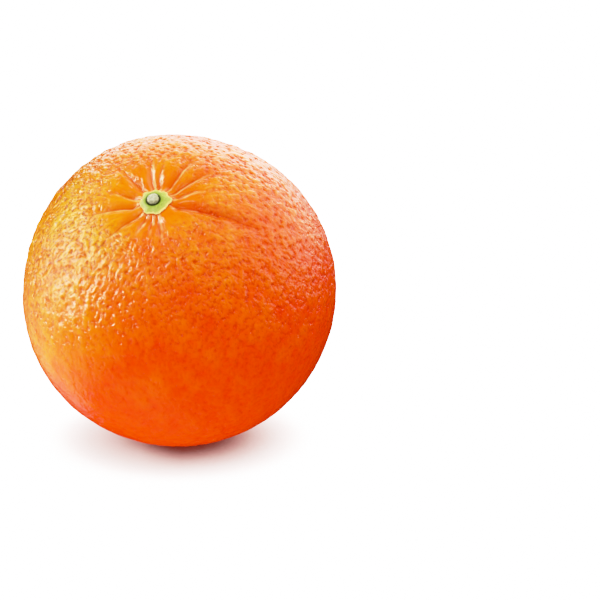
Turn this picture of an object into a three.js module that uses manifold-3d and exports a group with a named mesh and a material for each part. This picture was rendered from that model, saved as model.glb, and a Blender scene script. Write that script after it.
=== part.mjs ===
// A whole orange as picked. The fruit is one solid with a dimple at its stem end, furrows that run
// out from the dimple, and a skin pitted by its oil glands. The green calyx lies in the dimple, and
// the stub of the stem stands in a well in the calyx.
// Millimetres, +Z up. The fruit lies on a small flat spot, with its stem end leaning towards -Y.
import * as THREE from "three";
import { mergeVertices } from "three/addons/utils/BufferGeometryUtils.js";
import Module from "manifold-3d";

const DEG = Math.PI / 180;

// The fruit. Its own frame has the stem end at +Z and the middle of the fruit at the origin.
const EQUATOR_RADIUS = 39;
const POLE_RADIUS = 38.6;
const STEM_LEAN = 41.7 * DEG; // from upright, towards -Y
const STEM_TURN = -13.6 * DEG; // of that lean, about +Z
const FLAT_HEIGHT = 0.4; // how much the resting spot takes off the round bottom
const RESTING = new THREE.Matrix4().makeRotationFromEuler(new THREE.Euler(STEM_LEAN, 0, STEM_TURN, "ZXY"));
const DOWN = new THREE.Vector3(0, 0, -1).transformDirection(RESTING.clone().invert());

// The dimple that the calyx lies in, and the smaller one at the blossom end.
const DIMPLE_DEPTH = 2.3;
const DIMPLE_RADIUS = 9.5;
const BLOSSOM_DEPTH = 0.7;
const BLOSSOM_RADIUS = 3.2;

// Broad swellings and hollows: where each one's middle is, its height, and how wide it spreads.
const SWELLINGS = [
  { polar: 50 * DEG, turn: 122 * DEG, height: 0.3, spread: 17 * DEG },
  { polar: 72 * DEG, turn: 182 * DEG, height: -0.45, spread: 26 * DEG },
  { polar: 102 * DEG, turn: 226 * DEG, height: 0.4, spread: 32 * DEG },
  { polar: 57 * DEG, turn: 72 * DEG, height: -0.5, spread: 27 * DEG },
];

// Furrows from the dimple: the way each one runs, how far along the skin it reaches, and its depth.
const FURROWS = [
  { turn: -4 * DEG, reach: 31, depth: 1.5 },
  { turn: 24 * DEG, reach: 13, depth: 0.7 },
  { turn: 43 * DEG, reach: 18, depth: 1.1 },
  { turn: 66 * DEG, reach: 18, depth: 1.2 },
  { turn: 92 * DEG, reach: 13, depth: 0.9 },
  { turn: 107 * DEG, reach: 16, depth: 1.0 },
  { turn: 136 * DEG, reach: 17, depth: 1.1 },
  { turn: 167 * DEG, reach: 13, depth: 0.9 },
  { turn: 194 * DEG, reach: 18, depth: 1.2 },
  { turn: 226 * DEG, reach: 18, depth: 1.2 },
  { turn: 250 * DEG, reach: 11, depth: 0.8 },
  { turn: 270 * DEG, reach: 10.5, depth: 0.75 },
  { turn: 288 * DEG, reach: 13, depth: 1.0 },
];
const FURROW_START = 3.2; // from the stem axis, hidden under the calyx
const CREASE_WIDTH = 0.9;
const VALLEY_WIDTH = 2.4;
const CREASE_SHARE = 0.55; // of a furrow's depth, the rest is in its valley

// Oil glands, larger than life: every third point, both ways, of the lattice that the skin is made on.
const SKIN_STEPS = 24; // lattice steps along each edge of the icosahedron
const GLAND_STEPS = 3; // from one gland to the next, a factor of SKIN_STEPS
const LATTICE_PULL = 0.75; // under 1 draws the lattice towards the stem end
const GLAND_DEPTH = 0.55;
const GLAND_SPREAD = 0.6; // how much the depths differ from one gland to the next
const PEBBLE_HEIGHT = 0.16; // of the skin between the glands
const LATTICE_JITTER = 0.012; // how far points stray along the skin, as a share of the radius
const SMOOTH_RADIUS = 9; // the skin is nearly smooth this close to the stem axis
const PEBBLED_RADIUS = 18; // and fully pitted from here on
const SMOOTH_SHARE = 0.15;
const SPOT_RADIUS = 7; // smooth again round the resting spot
const SPOT_MARGIN = 5;

// The calyx: a thin, blunt star of sepals that have dried onto the skin.
const CALYX_RADIUS = 3.1;
const SEPALS = [
  { turn: 14 * DEG, reach: 0.85, width: 20 * DEG },
  { turn: 56 * DEG, reach: 0.45, width: 17 * DEG },
  { turn: 100 * DEG, reach: 0.4, width: 20 * DEG },
  { turn: 143 * DEG, reach: 0.8, width: 15 * DEG },
  { turn: 190 * DEG, reach: 0.55, width: 19 * DEG },
  { turn: 243 * DEG, reach: 0.6, width: 18 * DEG },
  { turn: 292 * DEG, reach: 0.45, width: 20 * DEG },
];
const CALYX_TOP = 37.15; // height of its crown above the middle of the fruit
const CALYX_RIM_DROP = 0.5; // from the crown down to the edge of the sepals
const CALYX_THICKNESS = 1.15;
const CALYX_SIDES = 44;
const GAP = 0.3; // between pieces that rest in each other

// The stub of the stem, off the calyx's middle, in a well that it stands out of.
const STUB_PLACE = new THREE.Vector2(-0.45, 0.35);
const STUB_RADIUS = 1.35;
const STUB_HEIGHT = 1.45;
const STUB_SIDES = 28;
const WELL_RADIUS = STUB_RADIUS + 0.38;
const WELL_DEPTH = 0.75;

const wasm = await Module();
wasm.setup();

function smoothstep(low, high, value) {
  return THREE.MathUtils.smoothstep(value, low, high);
}

// The difference of two turns, from -PI to PI.
function turnBetween(a, b) {
  return THREE.MathUtils.euclideanModulo(a - b + Math.PI, 2 * Math.PI) - Math.PI;
}

function bell(distance, width) {
  return Math.exp(-((distance / width) ** 2));
}

// A fixed pseudo-random number from 0 to 1 for a direction, another one for each channel.
function scatter(direction, channel) {
  const n = Math.sin(direction.x * 127.1 + direction.y * 311.7 + direction.z * 74.7 + channel * 19.19);
  return THREE.MathUtils.euclideanModulo(n * 43758.5453, 1);
}

function directionAt(polar, turn) {
  return new THREE.Vector3().setFromSphericalCoords(1, polar, turn + Math.PI / 2).applyAxisAngle(
    new THREE.Vector3(1, 0, 0),
    Math.PI / 2,
  );
}

function furrowsAt(polar, turn) {
  const along = EQUATOR_RADIUS * polar;
  let depth = 0;
  for (const furrow of FURROWS) {
    const across = EQUATOR_RADIUS * Math.sin(polar) * turnBetween(turn, furrow.turn);
    const start = smoothstep(FURROW_START, 2 * FURROW_START, along);
    const end = 1 - smoothstep(0.45 * furrow.reach, furrow.reach, along);
    const section =
      CREASE_SHARE * bell(across, CREASE_WIDTH) + (1 - CREASE_SHARE) * bell(across, VALLEY_WIDTH);
    depth += furrow.depth * start * end * section;
  }
  return depth;
}

// The distance from the middle of the fruit to its skin, before the glands pit it.
function skinRadius(polar, turn) {
  const direction = directionAt(polar, turn);
  const round = 1 / Math.hypot(Math.sin(polar) / EQUATOR_RADIUS, Math.cos(polar) / POLE_RADIUS);
  const fromStem = EQUATOR_RADIUS * polar;
  const fromBlossom = EQUATOR_RADIUS * (Math.PI - polar);
  let radius = round - DIMPLE_DEPTH * bell(fromStem, DIMPLE_RADIUS);
  radius -= BLOSSOM_DEPTH * bell(fromBlossom, BLOSSOM_RADIUS);
  for (const swelling of SWELLINGS) {
    const away = direction.angleTo(directionAt(swelling.polar, swelling.turn));
    radius += swelling.height * bell(away, swelling.spread);
  }
  return radius - furrowsAt(polar, turn);
}

// The points and triangles of a geodesic sphere, with the points that are the middle of a gland marked.
function geodesicLattice(steps) {
  const faces = new THREE.IcosahedronGeometry(1, 0).getAttribute("position");
  const points = [];
  const triangles = [];
  const seen = new Map();
  const pointAt = (a, b, c, i, j) => {
    const direction = new THREE.Vector3()
      .addScaledVector(a, steps - i - j)
      .addScaledVector(b, i)
      .addScaledVector(c, j)
      .normalize();
    const key = direction.toArray().map((v) => Math.round(v * 1e5)).join();
    if (!seen.has(key)) {
      seen.set(key, points.length);
      points.push({ direction, isGland: i % GLAND_STEPS === 0 && j % GLAND_STEPS === 0 });
    }
    return seen.get(key);
  };
  for (let first = 0; first < faces.count; first += 3) {
    const [a, b, c] = [0, 1, 2].map((k) => new THREE.Vector3().fromBufferAttribute(faces, first + k));
    for (let i = 0; i < steps; i++) {
      for (let j = 0; j < steps - i; j++) {
        const right = pointAt(a, b, c, i + 1, j);
        const left = pointAt(a, b, c, i, j + 1);
        triangles.push(pointAt(a, b, c, i, j), right, left);
        if (i + j + 1 < steps) triangles.push(right, pointAt(a, b, c, i + 1, j + 1), left);
      }
    }
  }
  return { points, triangles };
}

// Draws a direction towards the stem end without squeezing the triangles around it.
function pullToStem(direction) {
  const polar = 2 * Math.atan(LATTICE_PULL * Math.tan(direction.angleTo(new THREE.Vector3(0, 0, 1)) / 2));
  return { polar, turn: Math.atan2(direction.y, direction.x) };
}

function skinPoint({ direction, isGland }) {
  const strayed = new THREE.Vector3(
    scatter(direction, 1) - 0.5,
    scatter(direction, 2) - 0.5,
    scatter(direction, 3) - 0.5,
  );
  strayed.multiplyScalar(2 * LATTICE_JITTER).add(direction).normalize();
  const { polar, turn } = pullToStem(strayed);
  const placed = directionAt(polar, turn);
  const pebbled = smoothstep(SMOOTH_RADIUS, PEBBLED_RADIUS, EQUATOR_RADIUS * polar);
  const clear = smoothstep(SPOT_RADIUS, SPOT_RADIUS + SPOT_MARGIN, EQUATOR_RADIUS * placed.angleTo(DOWN));
  const depth = isGland ? GLAND_DEPTH * (1 - GLAND_SPREAD * scatter(direction, 4)) : 0;
  const pebble = PEBBLE_HEIGHT * (scatter(direction, 5) - 0.5);
  const relief = (pebble - depth) * clear * THREE.MathUtils.lerp(SMOOTH_SHARE, 1, pebbled);
  return placed.multiplyScalar(skinRadius(polar, turn) + relief);
}

// A closed geometry as a solid that can be cut and joined.
function solidOf(geometry) {
  const bare = new THREE.BufferGeometry().setAttribute("position", geometry.getAttribute("position"));
  bare.setIndex(geometry.index);
  const merged = mergeVertices(bare, 1e-4);
  return new wasm.Manifold(
    new wasm.Mesh({
      numProp: 3,
      vertProperties: new Float32Array(merged.getAttribute("position").array),
      triVerts: new Uint32Array(merged.index.array),
    }),
  );
}

function geometryOf(solid) {
  const { numProp, vertProperties, triVerts } = solid.getMesh();
  const geometry = new THREE.BufferGeometry();
  geometry.setAttribute("position", new THREE.BufferAttribute(vertProperties, numProp));
  geometry.setIndex(new THREE.BufferAttribute(triVerts, 1));
  geometry.computeVertexNormals();
  return geometry;
}

function roundFruit() {
  const { points, triangles } = geodesicLattice(SKIN_STEPS);
  const geometry = new THREE.BufferGeometry().setFromPoints(points.map(skinPoint));
  geometry.setIndex(triangles);
  return geometry;
}

// How far the calyx's edge is from its middle, this way round.
function calyxReach(turn) {
  return SEPALS.reduce(
    (reach, sepal) => reach + sepal.reach * bell(turnBetween(turn, sepal.turn), sepal.width),
    CALYX_RADIUS,
  );
}

// The calyx without its well. With some growth it is the bed that the fruit has for it.
function calyxBody(growth) {
  const crown = CALYX_TOP + growth;
  const edge = crown - CALYX_RIM_DROP;
  const foot = CALYX_TOP - CALYX_THICKNESS - growth;
  const profile = [
    [0, foot],
    [0.75, foot],
    [0.95, foot + 0.25],
    [1, edge - 0.2 - 2 * growth],
    [0.98, edge],
    [0.8, edge + 0.12],
    [0.55, crown],
    [0, crown],
  ];
  const geometry = new THREE.LatheGeometry(
    profile.map(([share, height]) => new THREE.Vector2(share, height)),
    CALYX_SIDES,
  ).rotateX(Math.PI / 2);
  const position = geometry.getAttribute("position");
  for (let i = 0; i < position.count; i++) {
    const reach = calyxReach(Math.atan2(position.getY(i), position.getX(i))) + growth;
    position.setXY(i, position.getX(i) * reach, position.getY(i) * reach);
  }
  return geometry;
}

function upright(radius, height, sides) {
  return new THREE.CylinderGeometry(radius, radius, height, sides).rotateX(Math.PI / 2);
}

function calyxGeometry() {
  const well = upright(WELL_RADIUS, 2 * WELL_DEPTH, STUB_SIDES);
  well.translate(STUB_PLACE.x, STUB_PLACE.y, CALYX_TOP);
  return geometryOf(solidOf(calyxBody(0)).subtract(solidOf(well)));
}

function stubGeometry() {
  const foot = CALYX_TOP - WELL_DEPTH + GAP;
  const top = foot + STUB_HEIGHT;
  const profile = [
    new THREE.Vector2(0, foot),
    new THREE.Vector2(0.86 * STUB_RADIUS, foot),
    new THREE.Vector2(STUB_RADIUS, foot + 0.3 * STUB_HEIGHT),
    new THREE.Vector2(STUB_RADIUS, foot + 0.55 * STUB_HEIGHT),
    new THREE.Vector2(0.86 * STUB_RADIUS, top - 0.2 * STUB_HEIGHT),
    new THREE.Vector2(0.5 * STUB_RADIUS, top - 0.04 * STUB_HEIGHT),
    new THREE.Vector2(0, top),
  ];
  return new THREE.LatheGeometry(profile, STUB_SIDES)
    .rotateX(Math.PI / 2)
    .translate(STUB_PLACE.x, STUB_PLACE.y, 0);
}

// A block under the plane that the fruit lies on, in the fruit's own frame.
function groundUnder(fruit) {
  const side = 4 * EQUATOR_RADIUS;
  const resting = fruit.clone().applyMatrix4(RESTING);
  resting.computeBoundingBox();
  const top = resting.boundingBox.min.z + FLAT_HEIGHT;
  const block = new THREE.BoxGeometry(side, side, side).translate(0, 0, top - side / 2);
  return block.applyMatrix4(RESTING.clone().invert());
}

function fruitGeometry() {
  const round = roundFruit();
  return geometryOf(
    solidOf(round)
      .subtract(solidOf(groundUnder(round)))
      .subtract(solidOf(calyxBody(GAP))),
  );
}

function piece(name, geometry, color, roughness) {
  const material = new THREE.MeshStandardMaterial({ color, roughness, metalness: 0 });
  const mesh = new THREE.Mesh(geometry, material);
  mesh.name = name;
  return mesh;
}

// Sets the group down with the origin under the middle of its box.
function setDown(group) {
  const box = new THREE.Box3().setFromObject(group, true);
  const middle = box.getCenter(new THREE.Vector3());
  group.position.set(-middle.x, -middle.y, -box.min.z);
}

const orange = new THREE.Group();
orange.setRotationFromMatrix(RESTING);
orange.add(
  piece("fruit", fruitGeometry(), "#f27a12", 0.38),
  piece("calyx", calyxGeometry(), "#a8bf5c", 0.6),
  piece("stem_stub", stubGeometry(), "#cfd3ad", 0.75),
);
setDown(orange);

export default orange;
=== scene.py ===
"""A whole orange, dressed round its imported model.

The fruit's skin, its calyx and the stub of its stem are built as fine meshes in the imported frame,
each in the place of the plain solid that it stands for, and set on a pale floor in soft studio light.
Lengths are in metres. The fruit's own frame has its stem end at +Z and its middle at the origin.
"""

import itertools
import math

import bpy
import numpy as np
from bpy.props import FloatProperty, FloatVectorProperty, IntProperty, PointerProperty
from mathutils import Matrix, Vector, kdtree, noise


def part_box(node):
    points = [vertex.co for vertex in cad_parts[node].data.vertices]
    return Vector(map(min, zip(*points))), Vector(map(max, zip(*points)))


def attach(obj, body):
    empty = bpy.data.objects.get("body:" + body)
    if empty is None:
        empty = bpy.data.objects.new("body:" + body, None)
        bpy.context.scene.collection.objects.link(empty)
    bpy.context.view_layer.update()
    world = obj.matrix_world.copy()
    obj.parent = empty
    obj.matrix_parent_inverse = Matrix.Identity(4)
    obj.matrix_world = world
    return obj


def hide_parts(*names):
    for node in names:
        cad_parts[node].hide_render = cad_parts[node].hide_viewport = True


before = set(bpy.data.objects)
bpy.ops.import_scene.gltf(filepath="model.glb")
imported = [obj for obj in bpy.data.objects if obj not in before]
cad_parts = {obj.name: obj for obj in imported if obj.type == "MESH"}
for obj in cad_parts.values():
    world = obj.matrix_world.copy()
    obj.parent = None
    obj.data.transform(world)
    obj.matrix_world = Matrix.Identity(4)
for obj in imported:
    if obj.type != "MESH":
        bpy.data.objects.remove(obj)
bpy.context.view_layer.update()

bl_info = {
    "name": "Orange",
    "version": (1, 0, 0),
    "blender": (4, 5, 0),
    "location": "3D View > Sidebar > Orange",
    "description": "Builds a whole orange with its pitted skin, calyx and stub of stem",
    "category": "Object",
}

MM = 0.001
DEG = math.pi / 180

# The fruit's round form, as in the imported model.
EQUATOR_RADIUS = 39 * MM
POLE_RADIUS = 38.6 * MM
STEM_LEAN = 41.7 * DEG  # from upright, towards -Y
STEM_TURN = -13.6 * DEG  # of that lean, about +Z
FLAT_HEIGHT = 0.4 * MM
DIMPLE_DEPTH = 2.3 * MM
DIMPLE_RADIUS = 9.5 * MM
BLOSSOM_DEPTH = 0.7 * MM
BLOSSOM_RADIUS = 3.2 * MM
NUB_HEIGHT = 0.35 * MM  # in the middle of the blossom's dimple
NUB_RADIUS = 1.1 * MM
SCAR_RADIUS = 1.5 * MM
OUTLINE_STEPS = 240  # from pole to pole, where the box of that form is measured

# Broad swellings and hollows: polar angle, turn, height and spread.
SWELLINGS = (
    (50 * DEG, 122 * DEG, 0.3 * MM, 17 * DEG),
    (72 * DEG, 182 * DEG, -0.45 * MM, 26 * DEG),
    (102 * DEG, 226 * DEG, 0.4 * MM, 32 * DEG),
    (57 * DEG, 72 * DEG, -0.5 * MM, 27 * DEG),
)

# Furrows from the dimple: the way each one runs, its reach along the skin, and its depth.
FURROWS = (
    (-4 * DEG, 31 * MM, 1.5 * MM),
    (24 * DEG, 13 * MM, 0.7 * MM),
    (43 * DEG, 18 * MM, 1.1 * MM),
    (66 * DEG, 18 * MM, 1.2 * MM),
    (92 * DEG, 13 * MM, 0.9 * MM),
    (107 * DEG, 16 * MM, 1.0 * MM),
    (136 * DEG, 17 * MM, 1.1 * MM),
    (167 * DEG, 13 * MM, 0.9 * MM),
    (194 * DEG, 18 * MM, 1.2 * MM),
    (226 * DEG, 18 * MM, 1.2 * MM),
    (250 * DEG, 11 * MM, 0.8 * MM),
    (270 * DEG, 10.5 * MM, 0.75 * MM),
    (288 * DEG, 13 * MM, 1.0 * MM),
)
FURROW_START = 3.2 * MM
FURROW_FADE = 0.45  # the share of its reach from which a furrow gets shallower
FURROW_WANDER = 0.05  # how far its turn strays, in radians
WANDER_START = (3 * MM, 8 * MM)
VALLEY_WIDTH = 2.4 * MM
CREASE_WIDTH = 0.75 * MM
CREASE_SHARE = 0.5
CREASE_START = (3.2 * MM, 4.2 * MM)
CREASE_END = (0.6, 1.05)  # the shares of a furrow's reach over which its sharp crease ends
FAR_FROM_CREASE = 9 * MM
WELT_PLACE = 1.9 * MM
WELT_SHARE = 0.15
CREST_PLACE = 0.6 * MM
CREST_WIDTH = 0.5 * MM
CREST_END = (11 * MM, 18 * MM)

# The calyx and the stub of the stem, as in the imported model.
CALYX_RADIUS = 3.1 * MM
SEPALS = (  # turn, reach and width
    (14 * DEG, 0.85 * MM, 20 * DEG),
    (56 * DEG, 0.45 * MM, 17 * DEG),
    (100 * DEG, 0.4 * MM, 20 * DEG),
    (143 * DEG, 0.8 * MM, 15 * DEG),
    (190 * DEG, 0.55 * MM, 19 * DEG),
    (243 * DEG, 0.6 * MM, 18 * DEG),
    (292 * DEG, 0.45 * MM, 20 * DEG),
)
CALYX_TOP = 37.15 * MM
CALYX_RIM_DROP = 0.5 * MM
STUB_PLACE = (-0.45 * MM, 0.35 * MM)
STUB_RADIUS = 1.35 * MM
STUB_HEIGHT = 1.45 * MM
STUB_PROFILE = (  # its outline as shares of that radius and height, from under its foot to its top
    *((0.02, 0), (0.8, 0), (0.93, 0.12), (1.0, 0.3), (1.02, 0.5), (0.99, 0.66)),
    *((0.9, 0.8), (0.76, 0.9), (0.58, 0.96), (0.38, 0.985), (0.2, 0.97), (0.02, 0.96)),
)
STUB_RINGS = 40
WELL_RADIUS = STUB_RADIUS + 0.38 * MM
WELL_DEPTH = 0.75 * MM
WELL_WALL = WELL_RADIUS - 0.3 * MM
WELL_LIP = WELL_RADIUS + 0.2 * MM
STUB_FOOT = CALYX_TOP - WELL_DEPTH + 0.3 * MM
CALYX_THICKNESS = 0.3 * MM
# The skin right round the calyx is painted darker, a painted shade.
CALYX_SHADE = 0.85  # on the skin round it
CALYX_SHADE_ENDS = (-0.1 * MM, 0.8 * MM)  # past its edge
GROOVE_DEPTH = 0.12 * MM  # between the sepals
VEIN_WIDTH = 0.16  # of a sepal's
PIN_HOLE = 0.02 * MM  # the radius of the innermost rings, which one flat face closes

# Along the skin from the stem, it is smooth up to the first of these, pitted from the second, and its
# pebbles are round from the third.
SMOOTH_RADIUS = 8 * MM
PEBBLED_RADIUS = 17 * MM
ROUND_RADIUS = 28 * MM
LOBE_SHORTENING = 3 * MM  # of the smooth lobes, on the front side
WRINKLE_START = (3.5 * MM, 5 * MM)
WRINKLE_END = (7 * MM, 12 * MM)
LOBE_END = 15 * MM

# The flat, smooth spot that the fruit rests on.
SPOT_RADIUS = 6 * MM
SPOT_MARGIN = 5 * MM
SPOT_EDGE = 0.1 * MM

PEBBLE_WIDTH_SHARE = 0.74  # the pebbles' width over their length from stem to blossom
NOISE_STEPS = 721
RIPPLE_SIZE = 2.7  # times the pebbles'
RIDGE_HEIGHT = 1.5  # times the pebbles'
LOBE_RIPPLES = 0.4  # how high the ripples of the smooth lobes are, next to others
SMOOTHER_AT_BLOSSOM = 0.6
SMOOTHER_UNDERNEATH = 0.78
CROWN_FLATNESS = 0.15
CROWN_SMOOTHNESS = 0.45

# Sides of the fruit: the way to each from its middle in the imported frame, where -Y is the front and +Z is
# up, and the cosines of the angles from that way at which the side begins and is full.
FRONT_SIDE = ((0, -1, 0), 0.55, 0.85)
CROWN_SIDE = ((0.4, 0, 0.9), 0.3, 0.85)
TOP_SIDE = ((0, 0, 1), 0.7, 0.95)
UNDERSIDE = ((0, 0, -1), -0.45, 0.4)
# The side that the lamps at the left light most; the peel is painted yellower there, a painted light.
LIT_SIDE = ((-0.9, -0.36, 0.2), 0.55, 0.96)
# Painted highlights: the crests of the creases are painted pale on the flanks that face this way.
HIGHLIGHT_WAY = (-0.6, 0.2, 0.75)  # the flanks of creases that face it have pale crests

# How ripe the peel looks where it has each of its four colours, and what makes it more or less so. The
# yellow of the lit side is painted light, and the red towards one end is partly painted shade.
LIT_YELLOW, YELLOW, RIPE, DEEP = -0.5, 0.0, 0.5, 1.0
MEAN_RIPENESS = 0.66
# The peel is redder towards this end, low and at the front: partly riper peel, partly painted shade.
RIPE_SHADED_END = (0.31, -0.15, -0.94)
RIPER_AT_THAT_END = 0.52
RIPER_PAST_STEM = 0.12
PAST_STEM = (4 * MM, 34 * MM)
LESS_ON_LIT_SIDE = 0.53
MORE_ON_TOP = 0.14

GOLDEN = (1 + math.sqrt(5)) / 2


# -------- shapes


def smoothstep(low, high, value):
    share = np.clip((value - low) / (high - low), 0, 1)
    return share * share * (3 - 2 * share)


def bell(distance, width):
    return np.exp(-((distance / width) ** 2))


def at_least(least, share):
    """Raises a share so that it runs from that least value to 1."""
    return least + (1 - least) * share


def turn_between(a, b):
    return np.mod(a - b + math.pi, 2 * math.pi) - math.pi


def turns_round(count):
    """That many turns round the axis, and the unit circle's points there."""
    turn = np.linspace(0, 2 * math.pi, count, endpoint=False)
    return turn, np.stack([np.cos(turn), np.sin(turn)], 1)


def direction_at(polar, turn):
    return np.stack([np.sin(polar) * np.cos(turn), np.sin(polar) * np.sin(turn), np.cos(polar)], -1)


def polar_and_turn(directions):
    return np.arccos(np.clip(directions[:, 2], -1, 1)), np.arctan2(directions[:, 1], directions[:, 0])


def noise_at(points, size, seed):
    """Smooth noise from -1 to 1 at each point, with bumps about twice that size across."""
    shift = Vector((seed * 17.3, seed * 5.9, seed * 11.1))
    return np.array([noise.noise(Vector(p) + shift) for p in points / size])


def noise_place(polar, turn):
    """Where noise is read for each point, to come out longer from stem to blossom than across."""
    steps = np.linspace(0, math.pi, NOISE_STEPS)
    outward = np.clip(np.cos(steps), -PEBBLE_WIDTH_SHARE, PEBBLE_WIDTH_SHARE)
    upward = np.sqrt(PEBBLE_WIDTH_SHARE**2 - outward**2)
    from_axis = np.cumsum(outward) * steps[1]
    from_axis += 1 - from_axis.max()
    around = np.interp(polar, steps, from_axis)
    height = np.interp(polar, steps, np.cumsum(upward) * steps[1])
    return EQUATOR_RADIUS * np.stack([around * np.cos(turn), around * np.sin(turn), height], -1)


def across_furrow(polar, turn, way):
    """How far each point is from the line of a furrow that runs that way."""
    return EQUATOR_RADIUS * np.sin(polar) * turn_between(turn, way)


def furrows_at(polar, turn):
    along = EQUATOR_RADIUS * polar
    depth = np.zeros_like(polar)
    for way, reach, deepest in FURROWS:
        across = across_furrow(polar, turn, way)
        start = smoothstep(FURROW_START, 2 * FURROW_START, along)
        end = 1 - smoothstep(FURROW_FADE * reach, reach, along)
        section = CREASE_SHARE * bell(across, CREASE_WIDTH)
        section += (1 - CREASE_SHARE) * bell(across, VALLEY_WIDTH)
        section -= WELT_SHARE * bell(np.abs(across) - WELT_PLACE, CREASE_WIDTH)
        depth += deepest * start * end * section
    return depth


def crease_lines(polar, turn):
    """How far each point is from the bottom of its nearest crease, across it, and how strong that is."""
    along = EQUATOR_RADIUS * polar
    nearest = np.full_like(polar, FAR_FROM_CREASE)
    strength = np.zeros_like(polar)
    for way, reach, _ in FURROWS:
        across = across_furrow(polar, turn, way)
        here = np.abs(across) < np.abs(nearest)
        end_from, end_at = (share * reach for share in CREASE_END)
        fade = smoothstep(*CREASE_START, along) * (1 - smoothstep(end_from, end_at, along))
        nearest = np.where(here, across, nearest)
        strength = np.where(here, fade, strength)
    return nearest, strength * smoothstep(CREST_PLACE + CREST_WIDTH, CREST_PLACE, np.abs(nearest))


def skin_radius(polar, turn, furrows=True):
    """From the middle of the fruit to its skin, before the glands pit it."""
    radius = 1 / np.hypot(np.sin(polar) / EQUATOR_RADIUS, np.cos(polar) / POLE_RADIUS)
    radius -= DIMPLE_DEPTH * bell(EQUATOR_RADIUS * polar, DIMPLE_RADIUS)
    radius -= BLOSSOM_DEPTH * bell(EQUATOR_RADIUS * (math.pi - polar), BLOSSOM_RADIUS)
    direction = direction_at(polar, turn)
    for middle_polar, middle_turn, height, spread in SWELLINGS:
        middle = direction_at(middle_polar, middle_turn)
        away = np.arccos(np.clip(direction @ middle, -1, 1))
        radius += height * bell(away, spread)
    return radius - furrows_at(polar, turn) if furrows else radius


def lattice(steps):
    """Directions and triangles of an icosahedron whose faces are split in that many rows."""
    corners = []
    for a, b in itertools.product((-1, 1), (-GOLDEN, GOLDEN)):
        corners += [(0, a, b), (a, b, 0), (b, 0, a)]
    corners = np.array(corners, float)
    edge = 2.0  # the distance between two neighbours
    grid = [(i, j) for i in range(steps + 1) for j in range(steps + 1 - i)]
    at = {place: n for n, place in enumerate(grid)}
    i, j = np.array(grid).T
    shares = np.stack([steps - i - j, i, j], 1) / steps
    up = [(at[i, j], at[i + 1, j], at[i, j + 1]) for i, j in grid if i + j < steps]
    down = [(at[i + 1, j], at[i + 1, j + 1], at[i, j + 1]) for i, j in grid if i + j < steps - 1]
    rows = np.array(up + down)
    points, triangles = [], []
    for face in itertools.combinations(range(12), 3):
        a, b, c = corners[list(face)]
        if max(np.linalg.norm(a - b), np.linalg.norm(b - c), np.linalg.norm(c - a)) > 1.05 * edge:
            continue
        if np.dot(np.cross(a, b), c) < 0:
            b, c = c, b
        triangles.append(rows + len(points) * len(grid))
        points.append(shares @ np.array([a, b, c]))
    points = np.concatenate(points)
    points /= np.linalg.norm(points, axis=1)[:, None]
    _, first, number = np.unique(np.round(points, 6), axis=0, return_index=True, return_inverse=True)
    return points[first], number.ravel()[np.concatenate(triangles)]


def resting_frame():
    """The matrix from the fruit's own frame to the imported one, where its box fills the solid's."""
    turned = Matrix.Rotation(STEM_TURN, 4, "Z") @ Matrix.Rotation(STEM_LEAN, 4, "X")
    polar = np.linspace(0, math.pi, OUTLINE_STEPS)
    polar, turn = np.meshgrid(polar, np.linspace(0, 2 * math.pi, 2 * OUTLINE_STEPS))
    outline = direction_at(polar, turn) * skin_radius(polar, turn, furrows=False)[..., None]
    outline = outline.reshape(-1, 3) @ np.array(turned.to_3x3()).T
    low, high = outline.min(0), outline.max(0)
    box_low, box_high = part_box("fruit")
    middle = [(box_low[k] + box_high[k] - low[k] - high[k]) / 2 for k in (0, 1)]
    return Matrix.Translation((*middle, -low[2] - FLAT_HEIGHT)) @ turned


OWN_TO_PACKED = resting_frame()
MIDDLE = OWN_TO_PACKED.translation.copy()


def to_packed(points):
    matrix = np.array(OWN_TO_PACKED)
    return points @ matrix[:3, :3].T + matrix[:3, 3]


def own_direction(x, y, z):
    """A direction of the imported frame, as one of the fruit's own."""
    return np.array(OWN_TO_PACKED.to_3x3().inverted() @ Vector((x, y, z)).normalized())


def new_object(name, data):
    made = bpy.data.objects.new(name, data)
    bpy.context.scene.collection.objects.link(made)
    return made


def new_piece(name, points, faces, material, node):
    """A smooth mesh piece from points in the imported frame, standing for a node of it."""
    mesh = bpy.data.meshes.new(name)
    mesh.from_pydata(points.tolist(), [], [list(face) for face in faces])
    mesh.validate()
    mesh.shade_smooth()
    mesh.materials.append(material)
    piece = new_object(name, mesh)
    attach(piece, "root")
    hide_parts(node)
    return piece


def keep_values(piece, **values):
    """Stores values or vectors for each point under these names, for the material to read."""
    for name, value in values.items():
        kind, field = ("FLOAT", "value") if value.ndim == 1 else ("FLOAT_VECTOR", "vector")
        layer = piece.data.attributes.new(name, kind, "POINT")
        layer.data.foreach_set(field, value.astype(np.float32).ravel())


def ring_faces(rings, around):
    """Quads between rings of points, one ring after another."""
    faces = []
    for ring in range(rings - 1):
        for k in range(around):
            near, far = ring * around, (ring + 1) * around
            faces.append((near + k, far + k, far + (k + 1) % around, near + (k + 1) % around))
    return faces


# -------- materials


def node(tree, kind, inputs=None, **settings):
    """Adds a node. Each input is a value, or another node's output to link."""
    made = tree.nodes.new("ShaderNode" + kind)
    for name, value in settings.items():
        setattr(made, name, value)
    for name, value in (inputs or {}).items():
        if isinstance(value, bpy.types.NodeSocket):
            tree.links.new(value, made.inputs[name])
        else:
            made.inputs[name].default_value = value
    return made


def maths(tree, operation, a, b=0.5, c=0.5):
    return node(tree, "Math", {0: a, 1: b, 2: c}, operation=operation).outputs[0]


def plus(tree, a, b):
    return maths(tree, "ADD", a, b)


def times(tree, a, b):
    return maths(tree, "MULTIPLY", a, b)


def raised(tree, height, value, by):
    """A height with a value times another one added to it."""
    return maths(tree, "MULTIPLY_ADD", value, by, height)


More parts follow.
